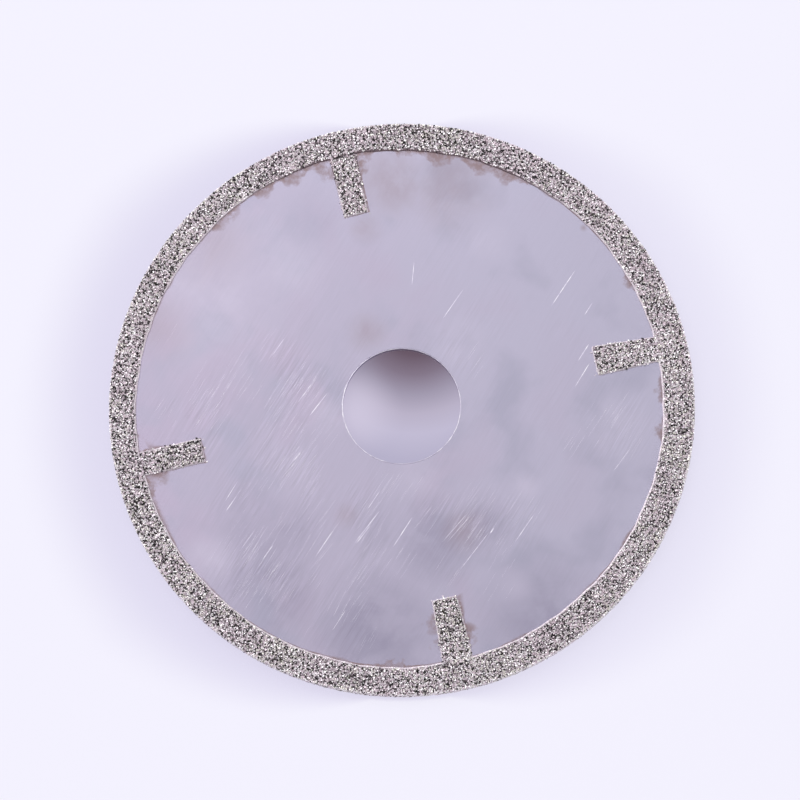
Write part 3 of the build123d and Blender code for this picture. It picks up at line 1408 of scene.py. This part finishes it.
@dataclass
class SteelBlank:
    """The bare steel: the construction model's own mesh, with its finish, its scratches and the bore's burr;
    the lips of the scratches and the burr are painted near white as highlights.

    Attributes:
        blade: The blade's sizes.
        lip_height: Height of a scratch's raised lip over the steel.
        lip_middle: Share of a scratch's length at which its lip has its full width.
        burr_height: Height of the burr round the bore.
        burr_sink: How deep its feet are sunk into the steel.
        burr_width: Its width where it is narrowest.
        burr_lobes: Where it widens, and its painted highlight with it: the direction in degrees from +X, by
            how much, and the power of the cosine, which is higher for a shorter stretch.
        burr_waver: How far its width wavers, as a share.
        bundles: Number of bundles of fine scratches.
        bundle_crowding: How many times the spread of the bundles goes into the worn place's reach.
        bundle_angle: Mean direction of the bundles in degrees from +X, and its spread.
        bundle_count: Fewest scratches in a bundle, and one more than the most.
        bundle_spread: Spread of the scratches' places in a bundle.
        bundle_lean: Spread of their directions in it, in degrees.
        fine_length: Shortest and longest of the fine scratches.
        fine_width: Narrowest and widest of them.
        marked: Scratches that stand out.
    """

    blade: Blade
    lip_height: float = 0.006
    lip_middle: float = 0.6
    burr_height: float = 0.02
    burr_sink: float = 0.01
    burr_width: float = 0.07
    burr_lobes: tuple[tuple[float, float, int], ...] = ((172.0, 0.11, 2), (-22.0, 0.09, 3))
    burr_waver: float = 0.25
    bundles: int = 110
    bundle_crowding: float = 2.4
    bundle_angle: Pair = (44.5, 2.0)
    bundle_count: tuple[int, int] = (3, 9)
    bundle_spread: float = 1.2
    bundle_lean: float = 0.6
    fine_length: Pair = (1.5, 6.0)
    fine_width: Pair = (0.010, 0.024)
    marked: tuple[Scratch, ...] = (
        Scratch(12.5, 15.5, 6.3, 43.0, 0.09), Scratch(31.5, 14.0, 7.8, 44.0, 0.14),
        Scratch(34.9, 9.5, 2.6, 45.0, 0.12), Scratch(32.3, 2.2, 3.6, 45.0, 0.16),
        Scratch(31.2, -1.6, 5.0, 46.0, 0.13), Scratch(7.0, 22.3, 4.2, 72.0, 0.08),
        Scratch(34.4, -17.5, 4.9, 41.0, 0.06), Scratch(15.8, -25.2, 6.2, 43.0, 0.10),
        Scratch(6.5, -27.3, 8.5, 40.0, 0.09), Scratch(10.2, -24.5, 1.2, 45.0, 0.20),
        Scratch(4.2, -22.6, 6.6, 36.5, 0.07), Scratch(4.9, -22.9, 6.4, 36.5, 0.06),
        Scratch(-31.4, -8.0, 4.2, 46.0, 0.08), Scratch(-31.9, -10.1, 3.4, 43.0, 0.10),
        Scratch(-27.6, -19.7, 3.2, 42.0, 0.10), Scratch(-17.9, -20.3, 5.6, 44.0, 0.12),
        Scratch(-10.3, -19.2, 7.0, 40.0, 0.13), Scratch(-11.2, -20.3, 4.0, 40.0, 0.12),
        Scratch(-4.6, -21.4, 6.2, 45.0, 0.14), Scratch(-8.2, -14.9, 4.0, 44.0, 0.08),
        Scratch(-21.2, -6.6, 4.2, 38.0, 0.05), Scratch(-19.3, -4.7, 2.0, 40.0, 0.07),
        Scratch(-18.4, -33.8, 4.2, 45.0, 0.07), Scratch(-18.3, 14.8, 3.8, 44.0, 0.08),
        Scratch(-13.8, 3.4, 5.4, 40.0, 0.12), Scratch(-15.6, 5.9, 4.2, 42.0, 0.09),
    )

    def scattered(self, rng: np.random.Generator) -> list[Scratch]:
        """Fine scratches in loose bundles, side by side, most of them in the worn places.

        Args:
            rng: Source of the places, lengths and widths.

        Returns:
            The scratches.
        """
        share = np.array([patch.strength * patch.reach**2 for patch in WORN_PLACES])
        scratches = []
        for number in rng.choice(len(WORN_PLACES), self.bundles, p=share / share.sum()):
            patch = WORN_PLACES[number]
            x, y = rng.normal((patch.x, patch.y), patch.reach / self.bundle_crowding)
            angle = rng.normal(*self.bundle_angle)
            for _ in range(rng.integers(*self.bundle_count)):
                scratches.append(Scratch(
                    rng.normal(x, self.bundle_spread), rng.normal(y, self.bundle_spread),
                    rng.uniform(*self.fine_length), rng.normal(angle, self.bundle_lean),
                    rng.uniform(*self.fine_width)))
        return scratches

    def kept(self, scratch: Scratch) -> bool:
        """Find out whether a scratch lies on bare steel from end to end.

        Args:
            scratch: The scratch.

        Returns:
            Whether it does.
        """
        reach = math.hypot(scratch.x, scratch.y)
        clear = scratch.length / 2 + 0.5
        aside, along = sorted((abs(scratch.x), abs(scratch.y)))
        strip = self.blade.upper_strips[0]
        off_strips = along < strip.end_radius - clear or aside > strip.end_width / 2 + clear
        return off_strips and self.blade.bore_radius + clear < reach < self.blade.band_inner_radius - clear

    def lips(self, scratches: list[Scratch]) -> Surface:
        """The raised lip of each scratch: a long low roof with pointed ends.

        Its points are a tip, two rings near the ends of its middle part, and the other tip. A ring has a
        foot, the ridge, the other foot and a point in the steel under the ridge.

        Args:
            scratches: The scratches.

        Returns:
            A closed surface for each scratch.
        """
        x, y, length, angle, width = np.array([
            (scratch.x, scratch.y, scratch.length, scratch.angle, scratch.width) for scratch in scratches
        ]).T[..., None]
        angle, end = np.radians(angle), self.lip_middle / 2
        ring = ((-0.5, 0.0), (0.0, 1.0), (0.5, 0.0), (0.0, -1.0))
        places = np.array([
            (-0.5, 0.0, 0.0), *((-end, *corner) for corner in ring),
            *((end, *corner) for corner in ring), (0.5, 0.0, 0.0)])
        forward, sideways = places[:, 0] * length, places[:, 1] * width
        points = rows(
            x + forward * np.cos(angle) - sideways * np.sin(angle),
            y + forward * np.sin(angle) + sideways * np.cos(angle),
            self.blade.blank_top + places[:, 2] * self.lip_height)
        first = np.arange(4)
        after = (first + 1) % 4
        shape = np.vstack([
            np.stack([np.zeros(4, int), 1 + first, 1 + after], axis=1),
            np.stack([1 + first, 5 + first, 5 + after], axis=1),
            np.stack([1 + first, 5 + after, 1 + after], axis=1),
            np.stack([np.full(4, 9), 5 + after, 5 + first], axis=1)])
        numbers = shape + len(places) * np.arange(len(scratches))[:, None, None]
        return Surface(points, numbers.reshape(-1, 3)).outward()

    def burr(self, side: Side) -> Surface:
        """The burr round the bore on one face: a low ridge, painted near white as the highlight along the
        bore's edge, that is widest towards -X.

        Its section has four points: two feet, sunk into the steel, and a ridge with two corners. Its
        width grows in each lobe with a power of the cosine of the angle from the lobe's middle, and
        wavers with the product of two sines of the angle.

        Args:
            side: The face.

        Returns:
            A closed surface.
        """
        turns = 360
        angle = full_turn(turns)[:, None]
        width = self.burr_width + sum(
            wider * np.clip(np.cos(angle - math.radians(middle)), 0, 1) ** power
            for middle, wider, power in self.burr_lobes
        )
        width = width * (1 + self.burr_waver * np.sin(17 * angle) * np.sin(41 * angle + 1))
        radius = self.blade.bore_radius + width * np.array([0.02, 0.2, 0.75, 1.0])
        rise = np.array([-self.burr_sink, self.burr_height, self.burr_height * 0.8, -self.burr_sink])
        points = around(angle, radius, self.blade.level(self.blade.blank_top + rise, side))
        return Surface(points, grid_faces(turns, len(rise), True)).outward()

    def build(self) -> list[bpy.types.Object]:
        """Finish the blank and add its scratches and its burr.

        Returns:
            The blank, the piece that holds the scratches' lips, and the burr.
        """
        # The scratches' lips and the burr take the near-white painted highlight.
        blank, painted_glint = frame["nodes"]["steel_blank"], PaintedGlintSteel().material()
        blank.data.materials.clear()
        blank.data.materials.append(GroundSteel(self.blade).material())
        loose = [scratch for scratch in self.scattered(np.random.default_rng(21)) if self.kept(scratch)]
        lips = self.lips([*self.marked, *loose]).to_object("scratch_lips", painted_glint, Slot.STEEL, False)
        burr = Surface.joined([self.burr(side) for side in Side])
        return [blank, lips, burr.to_object("bore_burr", painted_glint, Slot.STEEL, False)]


# The studio

@dataclass(frozen=True)
class FloorShade:
    """Soft shade on the floor: a halo beside the blade, and the gloom inside its bore.

    Attributes:
        halo_direction: Direction in which the halo is strongest, in degrees from +X.
        halo_reach: How far it reaches past the rim there and on the opposite side.
        halo_least: How far it reaches at right angles to that.
        halo_lobe: Factor of the cosine in the reach, and what is added to it.
        halo_far_side: How strong it is on the opposite side, as a share.
        halo_turn: Size of the cosine at which the strength of each side is reached.
        halo_foot: Share of the reach up to which it keeps its strength.
        halo: Colour of the floor in it.
        gloom_x: Middle of the gloom, on the bore's far side.
        gloom_y: Middle of the gloom.
        gloom_span: Distance from the middle at which the last of its colours is reached.
        gloom_edge: Distances past the bore's wall, under the steel, at which it ends and is full.
        gloom: Colours of the floor in the bore, each with its share of the span.
        lit: The paler part of that floor.
        lit_colour: Its colour.
    """

    halo_direction: float = 169.0
    halo_reach: float = 17.0
    halo_least: float = 0.8
    halo_lobe: Pair = (1.5, -0.2)
    halo_far_side: float = 0.60
    halo_turn: float = 0.8
    halo_foot: float = 0.05
    halo: Colour = linear(225, 221, 242)
    gloom_x: float = 5.1
    gloom_y: float = 13.1
    gloom_span: float = 23.0
    gloom_edge: Pair = (1.2, 0.6)
    gloom: Stops = (
        (0.20, linear(110, 93, 108)),
        (0.35, linear(133, 120, 138)),
        (0.50, linear(162, 154, 175)),
        (0.65, linear(187, 179, 201)),
        (0.80, linear(195, 189, 213)),
        (1.00, linear(184, 179, 204)),
    )
    lit: Patch = Patch(-8.0, 1.0, 9.0, 0.8)
    lit_colour: Colour = linear(210, 202, 224)

    def colour(self, sheet: NodeSheet, blade: Blade, backdrop: Colour) -> Socket:
        """The floor's colour.

        The halo fades smoothly with the distance past the rim, measured in shares of its reach. The
        reach goes with the cosine of the angle from the halo's direction, up to its full size. In the
        bore the colour goes by the distance from the middle of the gloom.

        Args:
            sheet: The floor's nodes.
            blade: The blade's sizes.
            backdrop: The floor's colour far from the blade.

        Returns:
            The colour.
        """
        radius, turn = sheet.distance(0.0, 0.0, 0.0), math.radians(self.halo_direction)
        cosine = sheet.calc("DIVIDE", sheet.ahead((math.cos(turn), math.sin(turn), 0.0)), radius)
        share = sheet.calc("MULTIPLY_ADD", sheet.calc("ABSOLUTE", cosine), *self.halo_lobe)
        share = sheet.calc("MINIMUM", sheet.calc("MAXIMUM", share, 0.0), 1.0)
        reach = sheet.calc("MULTIPLY_ADD", share, self.halo_reach, self.halo_least)
        past = sheet.calc("DIVIDE", sheet.calc("SUBTRACT", radius, blade.outer_radius), reach)
        side = sheet.remap(cosine, (-self.halo_turn, self.halo_turn), (self.halo_far_side, 1.0))
        strength = sheet.calc("MULTIPLY", sheet.remap(past, (1.0, self.halo_foot)), side)
        halo = sheet.blend(strength, backdrop, self.halo)
        away = sheet.calc("DIVIDE", sheet.distance(self.gloom_x, self.gloom_y, 0.0), self.gloom_span)
        bore = sheet.blend(sheet.patches((self.lit,), 0.0), sheet.ramp(away, self.gloom), self.lit_colour)
        inside = sheet.remap(radius, tuple(blade.bore_radius + edge for edge in self.gloom_edge))
        return sheet.blend(inside, halo, bore)


@dataclass(frozen=True)
class Lamp:
    """A rectangular soft lamp.

    Attributes:
        name: Its name.
        place: Where it hangs, in metres; it faces the blade.
        size: Its width and height, in metres.
        power: Its power in watts.
        colour: The colour of its light.
    """

    name: str
    place: Point
    size: Pair
    power: float
    colour: Colour = (1.0, 1.0, 1.0)

    def hang(self) -> None:
        """Put the lamp into the scene, turned to the blade."""
        data = bpy.data.lights.new(self.name, "AREA")
        data.shape, data.size, data.size_y = "RECTANGLE", *self.size
        data.energy, data.color = self.power, self.colour
        lamp = bpy.data.objects.new(self.name, data)
        lamp.location = self.place
        lamp.rotation_euler = (-Vector(self.place)).to_track_quat("-Z", "Y").to_euler()
        bpy.context.scene.collection.objects.link(lamp)


@dataclass(frozen=True)
class Studio:
    """Pale floor, soft lamps and the camera.

    Attributes:
        backdrop: Colour of the floor and of what is seen past it.
        shade: Soft shade on the floor.
        glow_share: How much of the floor's look, seen directly or in the metal, is free of real shadow.
        lamps: The lamps.
        room: Brightness of the even light at the horizon and overhead.
        room_top: Height, from 0 to 1, from which the light counts as overhead.
        floor_radius: Radius of the floor, in metres.
        view_azimuth: The camera's direction round the blade, in degrees.
        view_elevation: Its height over the horizon, in degrees.
        view_distance: Its distance from the point that it looks at.
        view_roll: Its turn about its line of sight, in degrees.
        target: The point that it looks at.
        focal_pixels: Its focal length in pixels of the photograph.
        sensor: Width of its sensor.
    """

    backdrop: Colour = linear(244, 242, 255)
    shade: FloorShade = FloorShade()
    glow_share: float = 0.85
    lamps: tuple[Lamp, ...] = (
        Lamp("far_left", (-0.34, 0.74, 0.72), (1.5, 1.3), 9.2),
        Lamp("low_left", (-1.6, 0.45, 0.30), (1.0, 0.5), 2.0),
        Lamp("low_right", (1.6, -0.45, 0.30), (1.2, 0.5), 3.4),
    )
    room: Pair = (0.43, 0.69)
    room_top: float = 0.9
    floor_radius: float = 4.0
    view_azimuth: float = -6.83
    view_elevation: float = 77.296
    view_distance: float = 795.8
    view_roll: float = -5.923
    target: Point = (0.007, 1.44, 0.0)
    focal_pixels: float = 4659.9
    sensor: float = 36.0

    def camera(self) -> None:
        """Set up the camera: it looks from its azimuth and elevation at the target, then rolls."""
        angles = (self.view_azimuth, self.view_elevation, self.view_roll)
        azimuth, elevation, roll = map(math.radians, angles)
        level = math.cos(elevation)
        back = Vector((math.sin(azimuth) * level, -math.cos(azimuth) * level, math.sin(elevation)))
        right = Matrix.Rotation(roll, 3, back) @ Vector((0, 0, 1)).cross(back).normalized()
        up = back.cross(right)
        data = bpy.data.cameras.new("photo_camera")
        data.sensor_width = self.sensor
        data.lens = self.focal_pixels / PHOTO_PIXELS * self.sensor
        data.clip_start, data.clip_end = 0.01, 50.0
        camera = bpy.data.objects.new("photo_camera", data)
        place = (Vector(self.target) + back * self.view_distance) * MM
        camera.matrix_world = Matrix.Translation(place) @ Matrix((right, up, back)).transposed().to_4x4()
        bpy.context.scene.collection.objects.link(camera)
        bpy.context.scene.camera = camera

    def floor(self, blade: Blade) -> None:
        """Lay a wide round floor under the blade.

        Args:
            blade: The blade's sizes.
        """
        count = 96
        points = around(full_turn(count), self.floor_radius, 0.0)
        mesh = bpy.data.meshes.new("floor")
        mesh.from_pydata(points.tolist(), [], [list(range(count))])
        material, sheet = new_material("pale_floor")
        colour = self.shade.colour(sheet, blade, self.backdrop)
        matt = sheet.add("BsdfDiffuse", {"Color": colour}).outputs[0]
        glow = sheet.add("Emission", {"Color": colour}).outputs[0]
        path = sheet.add("LightPath").outputs
        seen = sheet.calc("MAXIMUM", path["Is Camera Ray"], path["Is Glossy Ray"])
        seen = sheet.calc("MULTIPLY", seen, self.glow_share)
        sheet.add("OutputMaterial", {0: sheet.add("MixShader", {0: seen, 1: matt, 2: glow}).outputs[0]})
        mesh.materials.append(material)
        floor = bpy.data.objects.new("floor", mesh)
        bpy.context.scene.collection.objects.link(floor)

    def world(self) -> None:
        """Fill the room with even light, paler overhead than at the sides, and pale where it is seen."""
        world = bpy.data.worlds.new("studio_air")
        bpy.context.scene.world = world
        world.use_nodes = True
        sheet = NodeSheet(world.node_tree)
        split = sheet.add("SeparateXYZ", {0: sheet.add("TexCoord").outputs["Generated"]})
        level = sheet.remap(split.outputs[2], (0.0, self.room_top), self.room)
        room = sheet.add("Background", {0: (1.0, 1.0, 1.0), 1: level}).outputs[0]
        seen = sheet.add("Background", {0: self.backdrop, 1: 1.0}).outputs[0]
        camera_ray = sheet.add("LightPath").outputs["Is Camera Ray"]
        sheet.add("OutputWorld", {0: sheet.add("MixShader", {0: camera_ray, 1: room, 2: seen}).outputs[0]})

    def build(self, blade: Blade) -> None:
        """Set up the floor, the light and the camera.

        Args:
            blade: The blade's sizes.
        """
        bpy.context.scene.view_settings.view_transform = "Standard"
        self.floor(blade)
        self.world()
        for lamp in self.lamps:
            lamp.hang()
        self.camera()


def main() -> None:
    """Build the blade's looks and the studio, and report each piece."""
    logging.basicConfig(level=logging.INFO, format="%(message)s")
    blade = Blade()
    Studio().build(blade)
    for assembly in (SteelBlank(blade), DiamondDeposit(blade)):
        for piece in assembly.build():
            log.info("%s is in place", piece.name)


if __name__ == "__main__":
    main()
